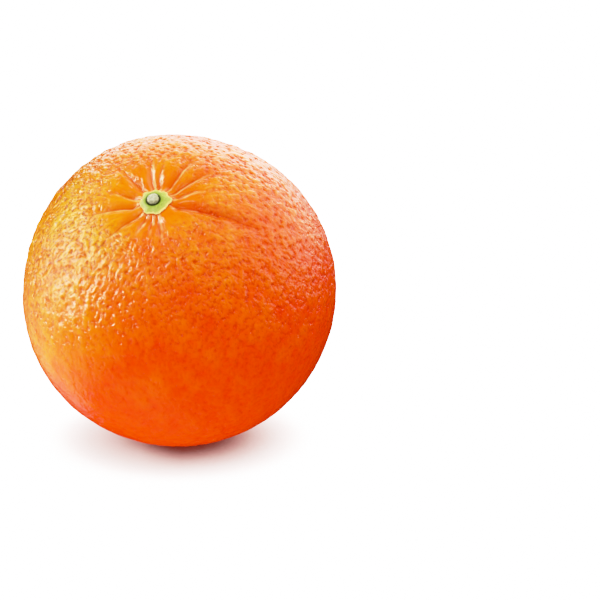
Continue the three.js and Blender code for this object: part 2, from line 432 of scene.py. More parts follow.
def value_of(tree, name, kind="Fac"):
    """What is stored for each point under a name."""
    return node(tree, "Attribute", attribute_name=name).outputs[kind]


def spread(tree, value, low, high, to_low=0.0, to_high=1.0):
    """Maps low to high onto to_low to to_high, and holds it there."""
    ends = {"Value": value, "From Min": low, "From Max": high, "To Min": to_low, "To Max": to_high}
    return node(tree, "MapRange", ends, clamp=True).outputs[0]


def falling(tree, value, low, high):
    """1 up to low, and 0 from high."""
    return spread(tree, value, low, high, 1, 0)


def line_of(tree, name, width):
    """1 where a stored value passes nought, falling off to 0 at that width on both sides."""
    return falling(tree, maths(tree, "ABSOLUTE", value_of(tree, name)), 0, width)


def blend(tree, share, a, b, how="MIX"):
    """Mixes two colours."""
    made = node(tree, "Mix", data_type="RGBA", blend_type=how)
    for socket, value in zip((made.inputs[0], made.inputs[6], made.inputs[7]), (share, a, b)):
        if isinstance(value, bpy.types.NodeSocket):
            tree.links.new(value, socket)
        else:
            socket.default_value = (*value, 1) if hasattr(value, "__len__") and len(value) == 3 else value
    return made.outputs[2]


def tinted(tree, colour, other, where, strength):
    """A colour that turns to another one where a value is high, at most by that strength."""
    return blend(tree, times(tree, where, strength), colour, other)


def mottle(tree, place, size, detail=2.0, rough=0.5):
    """Noise from about 0 to 1 with features of that size."""
    inputs = {"Vector": place, "Scale": 1 / size, "Detail": detail, "Roughness": rough}
    return node(tree, "TexNoise", inputs).outputs["Fac"]


def new_material(name, viewport_colour):
    material = bpy.data.materials.new(name)
    material.use_nodes = True
    material.diffuse_color = (*viewport_colour, 1)
    material.node_tree.nodes.clear()
    return material, material.node_tree


def finish_material(tree, **inputs):
    """Adds the shader with these inputs, named with _ for a space."""
    shader = node(tree, "BsdfPrincipled", {name.replace("_", " "): v for name, v in inputs.items()})
    node(tree, "OutputMaterial", {"Surface": shader.outputs[0]})


def object_place(tree):
    return node(tree, "TexCoord").outputs["Object"]


# Features of the peel that only its material has, as they are too fine for its mesh.
PATCH_SIZE = 9 * MM
PATCH_STRENGTH = 0.9
FLECK_SIZE = 1.3 * MM
FLECK_STRENGTH = 0.25
FINE_PEBBLE_SIZE = 0.74 * MM
FINE_PEBBLE_HEIGHT = 0.38 * MM
GRAIN_SIZE = 0.45 * MM
GRAIN_HEIGHT = 0.02 * MM
PEBBLED_GRAIN_HEIGHT = 0.025 * MM  # on top of that
PORE_EDGES = (0.15 * MM, 0.5 * MM)
PORE_DEPTH = 0.22 * MM
CREASE_LINE_WIDTH = 0.36 * MM
CREASE_LINE_DEPTH = 0.16 * MM
WRINKLE_LINE_WIDTH = 0.28  # of the noise that the wrinkles follow
WRINKLE_LINE_DEPTH = 0.12 * MM
CROSSING_STRENGTH = 1.7


def skin_material(skin):
    """Glossy peel: patches of riper colour, darker glands and paler pebbles that are partly painted shade
    and highlight, painted shade in creases, in gaps and round the calyx, painted highlights on crease
    crests, and a brown blossom scar.
    """
    material, tree = new_material("orange_peel", skin.ripe_colour)
    place = object_place(tree)
    grown = value_of(tree, "noise_place", "Vector")
    pebbled = value_of(tree, "pebbled")
    scar = value_of(tree, "scar")

    patches = maths(tree, "SUBTRACT", mottle(tree, place, PATCH_SIZE, 4, 0.6), 0.5)
    ripe = plus(tree, value_of(tree, "ripeness"), times(tree, patches, PATCH_STRENGTH))
    # Below YELLOW the colour turns to the lit side's yellow, a painted light.
    colour = blend(tree, spread(tree, ripe, LIT_YELLOW, YELLOW), skin.lit_side_colour, skin.yellow_colour)
    colour = blend(tree, spread(tree, ripe, YELLOW, RIPE), colour, skin.ripe_colour)
    colour = blend(tree, spread(tree, ripe, RIPE, DEEP), colour, skin.deep_colour)

    # The tops of the pebbles are paler, and most so where the peel is less ripe: partly their own colour,
    # partly a painted highlight.
    flecks = spread(tree, mottle(tree, place, FLECK_SIZE, 3), 0.3, 0.7, -0.5, 0.5)
    tops = plus(tree, value_of(tree, "relief"), times(tree, flecks, FLECK_STRENGTH))
    pale = blend(tree, spread(tree, ripe, 0.2, 0.7), skin.pale_top_and_highlight_colour, skin.pale_colour)
    paleness = spread(tree, ripe, 0.6, 1.1, 0.4, 0.2)
    colour = tinted(tree, colour, pale, where=spread(tree, tops, 0.0, 0.9), strength=paleness)

    # Painted shade: the gaps between the finest pebbles are darker, and olive where the peel is least ripe,
    # which is partly the olive of its glands.
    pebbles = mottle(tree, grown, FINE_PEBBLE_SIZE, 1)
    gap_shade = times(tree, falling(tree, pebbles, 0.32, 0.52), pebbled)
    tint = blend(tree, falling(tree, ripe, YELLOW, RIPE), skin.gap_shade_tint, skin.olive_gland_and_shade_tint)
    colour = blend(tree, gap_shade, colour, tint, "MULTIPLY")

    # Each point knows its nearest gland, so the pore is round and sharp however coarse the mesh is.
    gland = value_of(tree, "gland", "Vector")
    away = node(tree, "VectorMath", {0: place, 1: gland}, operation="DISTANCE").outputs["Value"]
    pore = times(tree, falling(tree, away, *PORE_EDGES), value_of(tree, "pitted"))
    # Pores are darker, partly their own colour and partly painted shade; the bottoms of the furrows get
    # painted shade.
    colour = tinted(tree, colour, skin.gland_and_crease_shade_colour, where=pore, strength=0.55)
    colour = tinted(tree, colour, skin.gland_and_crease_shade_colour, where=value_of(tree, "crease"), strength=0.4)
    colour = blend(tree, scar, colour, skin.scar_colour)

    # Creases and wrinkles are thin lines where a stored value passes nought.
    crease = line_of(tree, "crease_across", CREASE_LINE_WIDTH)
    crease = times(tree, crease, value_of(tree, "crease_strength"))
    wrinkle = times(tree, line_of(tree, "radial", WRINKLE_LINE_WIDTH), value_of(tree, "near_stem"))
    crossing = times(tree, line_of(tree, "crossing", WRINKLE_LINE_WIDTH), value_of(tree, "lobe_ends"))
    wrinkle = maths(tree, "MAXIMUM", wrinkle, times(tree, crossing, CROSSING_STRENGTH))
    # Painted shade along the thin crease lines.
    colour = tinted(tree, colour, skin.gland_and_crease_shade_colour, where=crease, strength=0.5)
    # Painted shade on the skin right round the calyx.
    colour = blend(tree, value_of(tree, "round_calyx"), colour, skin.shade_colour)
    # Painted highlight along the crests of the creases, on the flanks that face the bright way.
    colour = tinted(tree, colour, skin.crest_highlight_colour, where=value_of(tree, "crest"), strength=0.62)

    grain_height = maths(tree, "MULTIPLY_ADD", pebbled, PEBBLED_GRAIN_HEIGHT, GRAIN_HEIGHT)
    height = times(tree, mottle(tree, grown, GRAIN_SIZE, 2), grain_height)
    height = raised(tree, height, times(tree, pebbles, FINE_PEBBLE_HEIGHT), by=pebbled)
    height = raised(tree, height, pore, by=-PORE_DEPTH)
    height = raised(tree, height, crease, by=-CREASE_LINE_DEPTH)
    height = raised(tree, height, wrinkle, by=-WRINKLE_LINE_DEPTH)
    bump = node(tree, "Bump", {"Strength": 1.0, "Distance": 1.0, "Height": height})

    # The smooth lobes are a little glossier, and the crown and the scar are duller.
    rough = spread(tree, pebbled, 0.1, 0.5, skin.roughness - 0.03, skin.roughness)
    rough = raised(tree, rough, value_of(tree, "crowned"), by=0.14)
    rough = raised(tree, rough, scar, by=0.35)
    finish_material(
        tree,
        Base_Color=colour,
        Roughness=rough,
        Normal=bump.outputs[0],
        IOR=1.28,
        Specular_Tint=(1, 0.92, 0.75, 1),
        Subsurface_Weight=0.12,
        Subsurface_Radius=(1.0, 0.35, 0.08),
        Subsurface_Scale=1.0 * MM,
    )
    return material


def calyx_material(calyx):
    """Drying green leaf: darkest about the well, which has painted shade, paler outwards, and cream at the
    edge.
    """
    material, tree = new_material("calyx_leaf", calyx.green_colour)
    place = object_place(tree)
    blotch = spread(tree, mottle(tree, place, 0.9 * MM, 4, 0.6), 0.3, 0.7, -0.16, 0.16)
    outward = plus(tree, value_of(tree, "outward"), blotch)
    colour = blend(tree, spread(tree, outward, 0.1, 0.5), calyx.green_colour, calyx.pale_colour)
    colour = blend(tree, spread(tree, outward, 0.68, 0.92), colour, calyx.edge_colour)
    colour = tinted(tree, colour, calyx.pale_colour, where=value_of(tree, "vein"), strength=0.5)
    dry = spread(tree, mottle(tree, place, 0.6 * MM, 3, 0.7), 0.56, 0.72)
    dry = times(tree, dry, spread(tree, outward, 0.75, 1.0))
    colour = tinted(tree, colour, calyx.dry_colour, where=dry, strength=0.7)
    # Painted shade in the well round the stub.
    colour = blend(tree, value_of(tree, "well"), colour, calyx.well_shade_colour)
    grain = mottle(tree, place, 0.25 * MM, 4, 0.6)
    bump = node(tree, "Bump", {"Strength": 0.6, "Distance": 0.08 * MM, "Height": grain})
    finish_material(
        tree,
        Base_Color=colour,
        Roughness=spread(tree, grain, 0.3, 0.7, 0.5, 0.7),
        Normal=bump.outputs[0],
        Specular_IOR_Level=0.25,
        Subsurface_Weight=0.1,
        Subsurface_Radius=(0.6, 0.8, 0.3),
        Subsurface_Scale=0.5 * MM,
    )
    return material


def stub_material(stub):
    """Pale corky end grain with darker specks, and painted shade at its foot."""
    material, tree = new_material("stem_cork", stub.cork_colour)
    place = object_place(tree)
    cells = node(tree, "TexVoronoi", {"Vector": place, "Scale": 1 / (0.34 * MM)}).outputs["Distance"]
    speck = falling(tree, cells, 0.1, 0.4)
    patch = spread(tree, mottle(tree, place, 0.5 * MM, 4, 0.65), 0.42, 0.62)
    colour = blend(tree, patch, stub.cork_colour, stub.pale_colour)
    colour = tinted(tree, colour, stub.speck_colour, where=speck, strength=0.45)
    # Painted shade at the foot, where the stub sits in the well.
    colour = blend(tree, falling(tree, value_of(tree, "upward"), 0.15, 0.6), colour, stub.foot_shade_colour)
    height = maths(tree, "SUBTRACT", mottle(tree, place, 0.3 * MM, 4, 0.7), times(tree, speck, 0.5))
    bump = node(tree, "Bump", {"Strength": 0.8, "Distance": 0.1 * MM, "Height": height})
    rough = spread(tree, patch, 0, 1, 0.7, 0.85)
    finish_material(tree, Base_Color=colour, Roughness=rough, Normal=bump.outputs[0])
    return material


# -------- settings


def setting(kind, **usual):
    """A maker of one kind of property, from its name, its description and its default."""

    def make(name, description, default, **others):
        return kind(name=name, description=description, default=default, **{**usual, **others})

    return make


count = setting(IntProperty)
length = setting(FloatProperty, min=0, precision=5, subtype="DISTANCE", unit="LENGTH")
focal_length = setting(FloatProperty, min=10, unit="CAMERA")
angle = setting(FloatProperty, subtype="ANGLE")
share = setting(FloatProperty, min=0, max=1, subtype="FACTOR")
colour = setting(FloatVectorProperty, min=0, max=1, size=3, subtype="COLOR")
brightness = setting(FloatProperty, min=0)
watts = setting(FloatProperty, min=0, unit="POWER")


class OrangeSkin(bpy.types.PropertyGroup):
    """Sizes and colours of the fruit's skin."""

    mesh_steps: count("Mesh steps", "Rows of triangles along each edge of the lattice", 98, min=12, max=99)
    lattice_pull: share("Lattice pull", "Under 1 makes the mesh finer at the stem end", 0.74, min=0.4)
    gland_spacing: length("Gland spacing", "From one oil gland to the next", 1.95 * MM)
    gland_depth: length("Gland depth", "Depth of the deepest pits", 0.42 * MM)
    gland_width: length("Gland width", "From a pit's middle to where its wall is steepest", 0.5 * MM)
    pebble_size: length("Pebble size", "Half the width of the skin's pebbles", 0.78 * MM)
    pebble_height: length("Pebble height", "Height of the skin's pebbles", 0.15 * MM)
    ripple_height: length("Ripple height", "Height of the wider unevenness", 0.3 * MM)
    roughness: share("Roughness", "Of the peel's surface", 0.14)
    # The lit side's yellow is painted light, where the lamps fall most.
    lit_side_colour: colour("Sunny colour", "Where it faced the light most", (0.92, 0.44, 0.003))
    yellow_colour: colour("Yellow colour", "The least ripe peel", (0.93, 0.21, 0.002))
    ripe_colour: colour("Ripe colour", "Most of the peel", (0.92, 0.11, 0.001))
    deep_colour: colour("Deep colour", "The ripest, reddest peel", (0.87, 0.038, 0.0005))
    # Paler pebble tops: partly their own colour, partly a painted highlight.
    pale_top_and_highlight_colour: colour("Light colour", "The tops of its pebbles, where least ripe", (0.97, 0.36, 0.008))
    pale_colour: colour("Pale colour", "The tops of its pebbles, elsewhere", (0.97, 0.16, 0.002))
    # Darker pores, partly painted shade, and painted shade at the bottoms of the creases.
    gland_and_crease_shade_colour: colour("Gland colour", "Pores and the bottoms of creases", (0.45, 0.03, 0.001))
    # Painted shade in the gaps between the pebbles; the olive one is partly the real olive of less ripe
    # glands.
    gap_shade_tint: colour("Gap tint", "What is left of the colour between the pebbles", (0.62, 0.52, 0.42))
    olive_gland_and_shade_tint: colour("Olive tint", "The same, where the peel is least ripe", (0.45, 0.42, 0.27))
    # Painted highlights along the crests of the creases, not dry peel.
    crest_highlight_colour: colour("Crest colour", "The dry crests of the creases", (1.0, 0.62, 0.24))
    # Painted shade on the skin close to the calyx.
    shade_colour: colour("Shade colour", "Close to the calyx", (0.28, 0.04, 0.001))
    scar_colour: colour("Scar colour", "The corky scar of the blossom", (0.28, 0.14, 0.05))


class OrangeCalyx(bpy.types.PropertyGroup):
    """Sizes and colours of the calyx."""

    around: count("Sides", "Points round each ring", 180, min=24, max=400)
    vein_height: length("Vein height", "Height of the veins of the sepals", 0.07 * MM)
    wrinkle_height: length("Wrinkle height", "Height of the wrinkles", 0.12 * MM)
    rim_lift: length("Rim lift", "How far the sepals' edges curl up", 0.16 * MM)
    green_colour: colour("Green", "Round the well", (0.22, 0.29, 0.02))
    pale_colour: colour("Pale green", "Between well and edge, and along the veins", (0.33, 0.39, 0.065))
    edge_colour: colour("Edge", "The dried rim", (0.80, 0.57, 0.18))
    dry_colour: colour("Dry brown", "Tips that have dried most", (0.42, 0.20, 0.05))
    # Painted shade in the well round the stub.
    well_shade_colour: colour("Well", "The dark ring round the stub", (0.07, 0.08, 0.004))


class OrangeStub(bpy.types.PropertyGroup):
    """Sizes and colours of the stub of the stem."""

    around: count("Sides", "Points round each ring", 96, min=24, max=400)
    uneven: length("Unevenness", "Of its corky surface", 0.09 * MM)
    cork_colour: colour("Cork", "Most of the stub", (0.27, 0.27, 0.14))
    pale_colour: colour("Pale cork", "Its palest fibres", (0.47, 0.47, 0.29))
    speck_colour: colour("Specks", "Ends of its vessels", (0.17, 0.18, 0.08))
    # Painted shade at the foot of the stub.
    foot_shade_colour: colour("Foot", "Where it meets the well", (0.11, 0.12, 0.02))


class OrangeStage(bpy.types.PropertyGroup):
    """The floor, the lights and the camera."""

    floor_colour: colour("Floor", "Colour of the floor", (1.0, 1.0, 1.0))
    shadow_colour: colour("Shadow", "Colour of the floor in the fruit's shade", (1.0, 0.7, 0.66))
    # The painted contact shadow right under the fruit.
    contact_shadow_colour: colour("Contact", "Colour of the floor right under the fruit", (0.2, 0.02, 0.01))
    sky: brightness("Sky", "Of the even light from all round", 0.8)
    top_key: brightness("Top key", "Of the wide light from above", 2.7)
    side_key: brightness("Side key", "Of the wide light from the left", 1.7)
    floor_key: brightness("Floor key", "Of the light from below, as off a white floor", 6.3)
    side_power: watts("Side softbox", "Of the panel at the left", 13.5)
    back_power: watts("Back softbox", "Of the large panel behind, at the right", 9.5)
    wall_power: watts("Back wall", "Of the panel behind, which the rim mirrors", 8.3)
    crease_power: watts("Crease lights", "Of each of the two small panels that the creases mirror", 0.28)
    front_power: watts("Front softbox", "Of the small panel in front, at the left", 1.0)
    low_power: watts("Low softbox", "Of the panel low at the left, behind", 0.75)
    elevation: angle("Elevation", "Of the camera above the fruit", 15 * DEG)
    lens: focal_length("Lens", "Focal length", 100)
    distance: length("Distance", "From the camera to the middle of the fruit", 0.4175)
    aim_right: angle("Aim right", "How far right of the fruit the camera looks", 4.12 * DEG)
    aim_down: angle("Aim down", "How far below the fruit's middle it looks", 0.35 * DEG)


# -------- pieces

GLAND_SEED = 7
GLAND_JITTER = 0.24  # of the spacing
SHALLOWEST_GLAND = 0.1  # of the deepest
GLAND_DEPTH_POWER = 1.3  # over 1 makes more of them shallow
GLAND_HALO = (0.95 * MM, 0.6 * MM)


def scattered_glands(spacing):
    """Directions of the oil glands, evenly strewn and then jittered, and how deep each one is."""
    own_area = math.sqrt(3) / 2 * (spacing / EQUATOR_RADIUS) ** 2
    number = int(4 * math.pi / own_area)
    draw = np.random.default_rng(GLAND_SEED)
    k = np.arange(number) + 0.5
    directions = direction_at(np.arccos(1 - 2 * k / number), 2 * math.pi * GOLDEN * k)
    directions += draw.normal(0, GLAND_JITTER * spacing / EQUATOR_RADIUS, directions.shape)
    directions /= np.linalg.norm(directions, axis=1)[:, None]
    return directions, draw.uniform(SHALLOWEST_GLAND, 1, number) ** GLAND_DEPTH_POWER


def nearest_glands(directions, glands):
    """Which gland is the nearest to each point, and how far away that is."""
    tree = kdtree.KDTree(len(glands))
    for k, gland in enumerate(glands):
        tree.insert(gland, k)
    tree.balance()
    nearest = [tree.find(direction) for direction in directions]
    which = np.array([found[1] for found in nearest])
    return which, EQUATOR_RADIUS * np.array([found[2] for found in nearest])


class SkinPoints:
    """The points of the skin's mesh on the round fruit, before any relief."""

    def __init__(self, skin):
        directions, self.triangles = lattice(skin.mesh_steps)
        polar, self.turn = polar_and_turn(directions)
        self.polar = 2 * np.arctan(skin.lattice_pull * np.tan(polar / 2))
        self.directions = direction_at(self.polar, self.turn)
        self.ball = self.directions * EQUATOR_RADIUS
        self.grown = noise_place(self.polar, self.turn)
        self.along = EQUATOR_RADIUS * self.polar
        self.from_blossom = EQUATOR_RADIUS * (math.pi - self.polar)
        down = own_direction(0, 0, -1)
        self.from_spot = EQUATOR_RADIUS * np.arccos(np.clip(self.directions @ down, -1, 1))

    def share_on(self, side):
        """How far each point is on a side of the fruit, from 0 to 1."""
        way, begins, full = side
        return smoothstep(begins, full, self.directions @ own_direction(*way))

    def rays(self, radius, stretch):
        """Where noise is read on a tube: drawn out from the stem with a stretch under 1, across over 1."""
        circle = np.stack([np.cos(self.turn), np.sin(self.turn)], 1)
        return np.column_stack([circle * radius, stretch * self.along])


def skin_zones(at):
    """How pitted the skin is at each point, and how far it is on the crown, where it is tighter."""
    # The lobes about the stem are smooth, and shorter at the front.
    lobe_along = at.along + LOBE_SHORTENING * at.share_on(FRONT_SIDE)
    past_lobes = smoothstep(SMOOTH_RADIUS, PEBBLED_RADIUS, lobe_along)
    pitted = past_lobes * smoothstep(SPOT_RADIUS, SPOT_RADIUS + SPOT_MARGIN, at.from_spot)
    pitted *= 1 - SMOOTHER_AT_BLOSSOM * bell(at.from_blossom, BLOSSOM_RADIUS)
    pitted *= 1 - SMOOTHER_UNDERNEATH * at.share_on(UNDERSIDE)
    return pitted, at.share_on(CROWN_SIDE) * past_lobes


def skin_relief(at, skin, pitted, crowned, pits):
    """How far pebbles, ripples and pits lift each point of the skin."""
    # The pebbles are long ridges close to the lobes, and round further out.
    ridges = noise_at(at.rays(PEBBLED_RADIUS, 0.4), skin.pebble_size, seed=15)
    roundness = smoothstep(PEBBLED_RADIUS, ROUND_RADIUS, at.along)
    pebbles = noise_at(at.grown, skin.pebble_size, seed=1) * roundness
    pebbles += RIDGE_HEIGHT * ridges * (1 - roundness)
    ripples = noise_at(at.grown, RIPPLE_SIZE * skin.pebble_size, seed=2)
    lobes = noise_at(at.ball * (1, 1, 0.4), 4 * MM, seed=5)
    ripples = ripples * at_least(0.15, pitted) + LOBE_RIPPLES * lobes * (1 - pitted)
    relief = skin.pebble_height * pebbles * at_least(0.15, pitted) + skin.ripple_height * ripples
    relief -= skin.gland_depth * pits * at_least(0.05, pitted)
    relief *= smoothstep(0, SPOT_RADIUS + SPOT_MARGIN, at.from_spot) * (1 - CROWN_FLATNESS * crowned)
    return relief + NUB_HEIGHT * bell(at.from_blossom, NUB_RADIUS)


def fine_wrinkles(at):
    """Values that pass nought along fine wrinkles, and how strong those are, for the material.

    Some run out from the stem between the furrows, and others cross them where the lobes end.
    """
    some = smoothstep(-0.2, 0.35, noise_at(at.rays(11 * MM, 0.4), 4 * MM, seed=10))
    near_stem = smoothstep(*WRINKLE_START, at.along) * (1 - smoothstep(*WRINKLE_END, at.along))
    others = smoothstep(-0.3, 0.3, noise_at(at.ball, 3 * MM, seed=11))
    return {
        "radial": noise_at(at.rays(11 * MM, 0.3), 1.1 * MM, seed=6),
        "crossing": noise_at(at.rays(15 * MM, 3), 3.2 * MM, seed=7),
        "near_stem": 0.6 * some * near_stem,
        "lobe_ends": bell(at.along - LOBE_END, 3 * MM) * others,
    }


def skin_ripeness(at):
    """How ripe the peel looks: the most at one end, partly painted shade, and the least on the lit side,
    painted light.
    """
    ripeness = MEAN_RIPENESS + RIPER_AT_THAT_END * at.directions @ own_direction(*RIPE_SHADED_END)
    ripeness += RIPER_PAST_STEM * smoothstep(*PAST_STEM, at.along)
    # Painted light: the peel is yellower on the side that the lamps light most.
    ripeness -= LESS_ON_LIT_SIDE * at.share_on(LIT_SIDE)
    return ripeness + MORE_ON_TOP * at.share_on(TOP_SIDE)


def painted_crest_highlights(at, crease_across, crease_strength):
    """How strong the painted highlight is at each point: along the crest of a crease, on the flank that
    faces the bright way.
    """
    tangent = np.stack([-np.sin(at.turn), np.cos(at.turn), 0 * at.turn], 1)
    facing = -np.sign(crease_across) * (tangent @ own_direction(*HIGHLIGHT_WAY))
    uneven = noise_at(at.ball, 1.6 * MM, seed=14)
    width = (0.6 + 0.4 * uneven) * CREST_WIDTH
    crest = bell(np.abs(crease_across) - CREST_PLACE, width) * crease_strength
    crest *= smoothstep(-0.1, 0.5, facing) * np.clip(0.7 + 1.3 * uneven, 0, 1)
    return np.clip(crest * (1 - smoothstep(*CREST_END, at.along)), 0, 1)


def build_fruit(skin):
    at = SkinPoints(skin)
    pitted, crowned = skin_zones(at)
    glands, depths = scattered_glands(skin.gland_spacing)
    which, away = nearest_glands(at.directions, glands)
    pits = depths[which] * bell(away, skin.gland_width)
    relief = skin_relief(at, skin, pitted, crowned, pits)
    # The furrows wander a little, as if the turn were not quite the same along them.
    wander = FURROW_WANDER * noise_at(at.ball, 5 * MM, seed=3) * smoothstep(*WANDER_START, at.along)
    furrow = furrows_at(at.polar, at.turn + wander)
    crease_across, crease_strength = crease_lines(at.polar, at.turn + wander)

    radius = skin_radius(at.polar, at.turn, furrows=False) - furrow + relief
    points = to_packed(at.directions * radius[:, None])
    # The resting spot is flat, with a soft edge.
    points[:, 2] = (points[:, 2] + np.hypot(points[:, 2], SPOT_EDGE)) / 2

    piece = new_piece("fruit_skin", points, at.triangles, skin_material(skin), "fruit")
    gland_places = to_packed(glands * skin_radius(*polar_and_turn(glands))[:, None])
    near_gland = smoothstep(*GLAND_HALO, away)
    scar = bell(at.from_blossom, SCAR_RADIUS) * (0.7 + 0.5 * noise_at(at.ball, 0.8 * MM, seed=4))
    past_calyx = EQUATOR_RADIUS * np.sin(at.polar) - calyx_reach(at.turn)
    keep_values(
        piece,
        gland=gland_places[which],
        pitted=pitted * near_gland * at_least(0.3, depths[which]),
        noise_place=at.grown,
        pebbled=at_least(0.06, pitted) * (1 - CROWN_SMOOTHNESS * crowned),
        crowned=crowned,
        crest=painted_crest_highlights(at, crease_across, crease_strength),
        # how high each point is, for the paler pebble tops, partly a painted highlight
        relief=np.clip(relief / (2 * skin.pebble_height) + 0.5, 0, 1),
        ripeness=skin_ripeness(at),
        # how deep each furrow is, for its painted shade
        crease=np.clip(furrow / MM, 0, 1),
        scar=np.clip(scar, 0, 1),
        # painted shade on the skin just past the calyx's edge
        round_calyx=CALYX_SHADE * (1 - smoothstep(*CALYX_SHADE_ENDS, past_calyx)),
        crease_across=crease_across,
        crease_strength=crease_strength,
        **fine_wrinkles(at),
    )


def calyx_reach(turn):
    reach = np.full_like(turn, CALYX_RADIUS)
    for way, more, width in SEPALS:
        reach += more * bell(turn_between(turn, way), width)
    return reach


def build_calyx(calyx):
    """Rings from the well's middle out to the edge of the sepals, round it, and back underneath."""
    around = calyx.around
    turn, unit = turns_round(around)
    crinkle = 1 + 0.02 * np.sin(9 * turn) + 0.015 * np.sin(23 * turn + 1)
    edge = unit * calyx_reach(turn)[:, None] * crinkle[:, None]
    rings = []  # each one's points seen from above, its height, and its share of the way outwards

    wall_radii = np.linspace(WELL_WALL, WELL_LIP, 7)[1:]
    for radius in (*np.linspace(PIN_HOLE, WELL_WALL, 4), *wall_radii):
        rise = WELL_DEPTH * smoothstep(WELL_WALL, WELL_LIP - 0.1 * MM, radius)
        rings.append((STUB_PLACE + unit * radius, CALYX_TOP - WELL_DEPTH + rise, 0))
    inner = rings[-1][0]
    for s in np.linspace(0, 1, 22)[1:]:
        drop = CALYX_RIM_DROP * smoothstep(0.15, 1, s)
        lift = calyx.rim_lift * smoothstep(0.75, 1, s)
        rings.append((inner + (edge - inner) * s, CALYX_TOP - drop + lift, s))
    rim_height = rings[-1][1]
    for s, down in ((1.01, 0.35), (0.99, 0.8), (0.9, 1.1), (0.6, 1.6)):
        rings.append((inner + (edge - inner) * s, rim_height - CALYX_THICKNESS * down, min(s, 1.0)))
    rings.append((STUB_PLACE + unit * PIN_HOLE, rim_height - CALYX_THICKNESS * 2.2, 0.02))

    flat = np.concatenate([ring[0] for ring in rings])
    height, out = (np.repeat([ring[k] for ring in rings], around) for k in (1, 2))
    points = np.column_stack([flat, height])

    way = np.arctan2(flat[:, 1], flat[:, 0])
    vein = np.zeros(len(points))
    for middle, _, width in SEPALS:
        vein = np.maximum(vein, bell(turn_between(way, middle), VEIN_WIDTH * width))
    vein *= smoothstep(0.05, 0.3, out) * (1 - smoothstep(0.8, 1, out))
    groove = 1 - (calyx_reach(way) - CALYX_RADIUS) / (0.5 * MM)
    wrinkle = noise_at(points, 0.9 * MM, seed=8) + 0.5 * noise_at(points, 0.4 * MM, seed=9)
    points[:, 2] += calyx.vein_height * vein + calyx.wrinkle_height * wrinkle * smoothstep(0, 0.4, out)
    points[:, 2] -= GROOVE_DEPTH * np.clip(groove, 0, 1) * smoothstep(0.3, 1, out)
    faces = ring_faces(len(rings), around)
    faces += [tuple(range(around))[::-1], tuple(range(len(points) - around, len(points)))]

    material = calyx_material(calyx)
    piece = new_piece("calyx_leaf", to_packed(points), faces, material, "calyx")
    from_stub = np.hypot(*(flat - STUB_PLACE).T)
    keep_values(
        piece,
        outward=out,
        vein=vein,
        well=smoothstep(WELL_LIP, WELL_RADIUS - 0.15 * MM, from_stub),
    )


def build_stub(stub):
    """A lathed knob with a cut, corky top."""
    legs = np.array(STUB_PROFILE)
    length_along = np.concatenate([[0], np.cumsum(np.hypot(*np.diff(legs, axis=0).T))])
    stops = np.linspace(0, length_along[-1], STUB_RINGS)
    radii = np.interp(stops, length_along, legs[:, 0]) * STUB_RADIUS
    heights = STUB_FOOT + np.interp(stops, length_along, legs[:, 1]) * STUB_HEIGHT
    _, unit = turns_round(stub.around)
    flat = (radii[:, None, None] * unit).reshape(-1, 2)
    points = np.column_stack([flat, np.repeat(heights, stub.around)])
    bumps = noise_at(points, 0.5 * MM, seed=12) + 0.6 * noise_at(points, 0.22 * MM, seed=13)
    outwards = points - (0, 0, STUB_FOOT + 0.4 * STUB_HEIGHT)
    outwards /= np.linalg.norm(outwards, axis=1)[:, None]
    points += outwards * (stub.uneven * bumps)[:, None]
    points[:, :2] += STUB_PLACE
    faces = ring_faces(STUB_RINGS, stub.around)
    faces += [tuple(range(stub.around)), tuple(range(len(points) - stub.around, len(points)))]
    faces = [face[::-1] for face in faces]
    piece = new_piece("stem_knob", to_packed(points), faces, stub_material(stub), "stem_stub")
    keep_values(piece, upward=np.clip((points[:, 2] - STUB_FOOT) / STUB_HEIGHT, 0, 1))


# -------- stage

WHITE_LEVEL = 3.0  # this bright is shown as white
BLACK_LEVEL = 0.004
TONES = ((0.3, 0.3), (0.6, 0.6), (1.0, 0.8), (1.5, 0.9), (2.2, 0.975))  # how bright, and how that is shown

FLOOR_HALF_WIDTH = 6.0
SHADE_REACH = 0.3
SHADE_SAMPLES = 24
SHADE_ENDS = (0.1, 0.56)  # how open the sky is over the darkest floor, and over the first that is white
LEFT_SHADE_ENDS = (0.2, 0.4)
LEFT_SHADE_LOSS = 0.08
LEFT_SHADE_EDGE = -10 * MM
SHADE_FALL = 4.0
HALF_SHADE_BRIGHTNESS = 2.0

PANEL_DISTANCE = 0.6
WALL_MIDDLE = (0.05, 0, 0.575)
FRONT_SPOT_SHARE = 0.35  # of the front softbox's power


def aimed(place, target):
    """A matrix at a place, with its -Z towards a target."""
    way = Vector(target) - Vector(place)
    return Matrix.Translation(place) @ way.to_track_quat("-Z", "Y").to_matrix().to_4x4()


def add_softbox(name, power, way, size, distance=PANEL_DISTANCE, target=MIDDLE):
    """A panel of light that the peel's gloss reflects. The keys light what isn't glossy."""
    light = bpy.data.lights.new(name, "AREA")
    light.shape = "RECTANGLE"
    light.size, light.size_y = size
    light.energy = power
    lamp = new_object(name, light)
    lamp.matrix_world = aimed(Vector(target) + Vector(way).normalized() * distance, target)
    lamp.visible_diffuse = False
    lamp.visible_camera = False


def add_key(name, strength, way, width=60 * DEG):
    """A wide, soft light from far away that leaves no reflection of its own."""
    light = bpy.data.lights.new(name, "SUN")
    light.energy = strength
    light.angle = width
    lamp = new_object(name, light)
    lamp.matrix_world = aimed(way, (0, 0, 0))
    lamp.visible_glossy = False


